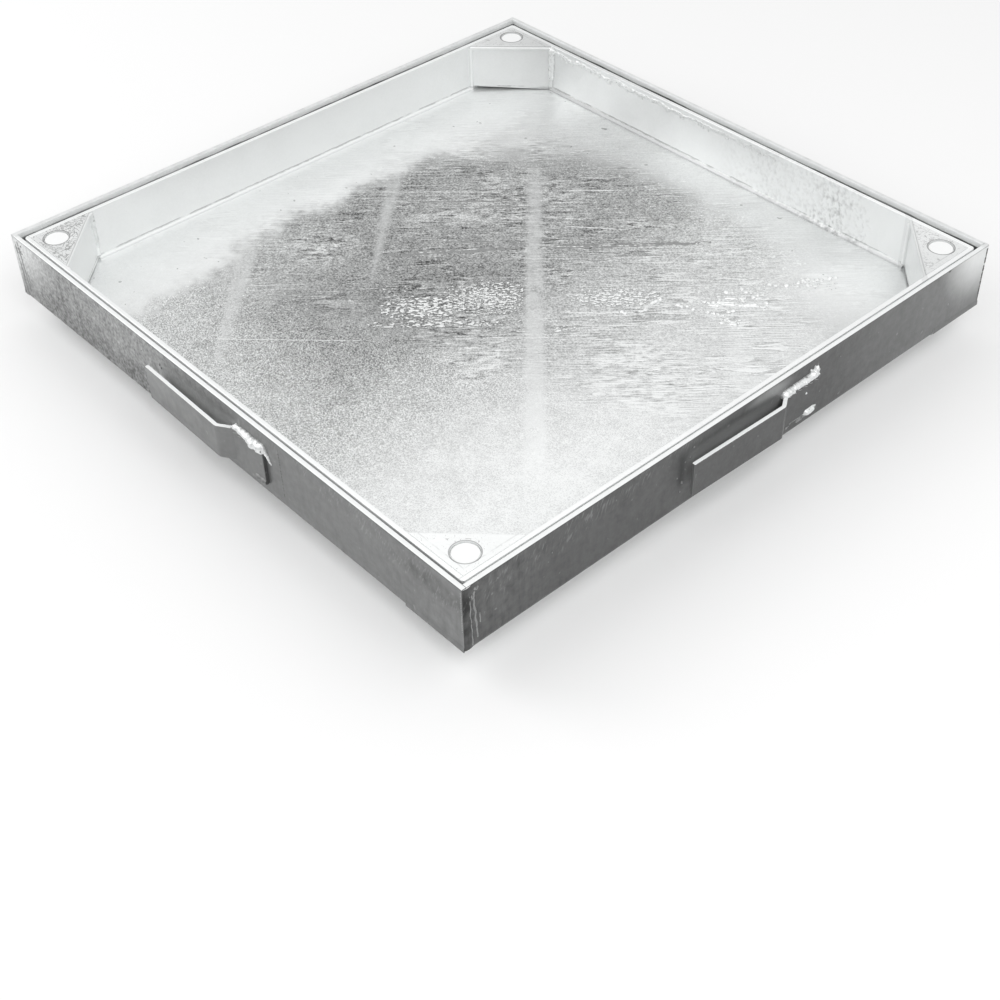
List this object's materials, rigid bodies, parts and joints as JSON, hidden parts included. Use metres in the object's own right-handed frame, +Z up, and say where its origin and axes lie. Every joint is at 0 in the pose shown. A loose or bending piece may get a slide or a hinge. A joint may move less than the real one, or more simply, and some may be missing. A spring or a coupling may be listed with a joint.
{
  "type": "recessed paving cover",
  "caption": "Square recessed tray cover of galvanised steel, bolted at plugged corners into an angle frame with tie straps and welded nuts underneath.",
  "frame": {"origin": "under the middle of the cover, level with the free ends of the four nuts", "axes": "+Z up out of the open tray; +X to the right and +Y to the back along the sides of the square"},
  "size_m": [0.591, 0.591, 0.082],
  "materials": {
    "frame_zinc": "hot-dip galvanised, dull with bright edges",
    "tray_zinc": "hot-dip galvanised, smooth and bright",
    "tray_floor_zinc": "hot-dip galvanised, mottled with drag lines",
    "nut_zinc": "galvanised with the frame",
    "bolt_steel": "zinc plated",
    "white_plastic": "smooth satin",
    "black_rubber": "dull cellular"
  },
  "bodies": {
    "root": {"tray_floor": "tray_floor_zinc", "seal_strip": "black_rubber", "frame_angle_front": "frame_zinc", "frame_angle_right": "frame_zinc", "frame_angle_back": "frame_zinc", "frame_angle_left": "frame_zinc", "tie_strap_front": "frame_zinc", "tie_strap_right": "frame_zinc", "tie_strap_back": "frame_zinc", "tie_strap_left": "frame_zinc", "tray_wall_front": "tray_zinc", "tray_wall_right": "tray_zinc", "tray_wall_back": "tray_zinc", "tray_wall_left": "tray_zinc", "long_nut_front_left": "nut_zinc", "long_nut_front_right": "nut_zinc", "long_nut_back_right": "nut_zinc", "long_nut_back_left": "nut_zinc", "corner_gusset_front_left": "tray_zinc", "corner_gusset_front_right": "tray_zinc", "corner_gusset_back_right": "tray_zinc", "corner_gusset_back_left": "tray_zinc", "corner_plate_front_left": "tray_zinc", "corner_plate_front_right": "tray_zinc", "corner_plate_back_right": "tray_zinc", "corner_plate_back_left": "tray_zinc", "hole_plug_front_left": "white_plastic", "hole_plug_front_right": "white_plastic", "hole_plug_back_right": "white_plastic", "hole_plug_back_left": "white_plastic", "bolt_washer_front_left": "bolt_steel", "bolt_washer_front_right": "bolt_steel", "bolt_washer_back_right": "bolt_steel", "bolt_washer_back_left": "bolt_steel", "locking_bolt_front_left": "bolt_steel", "locking_bolt_front_right": "bolt_steel", "locking_bolt_back_right": "bolt_steel", "locking_bolt_back_left": "bolt_steel"}
  },
  "joints": []
}
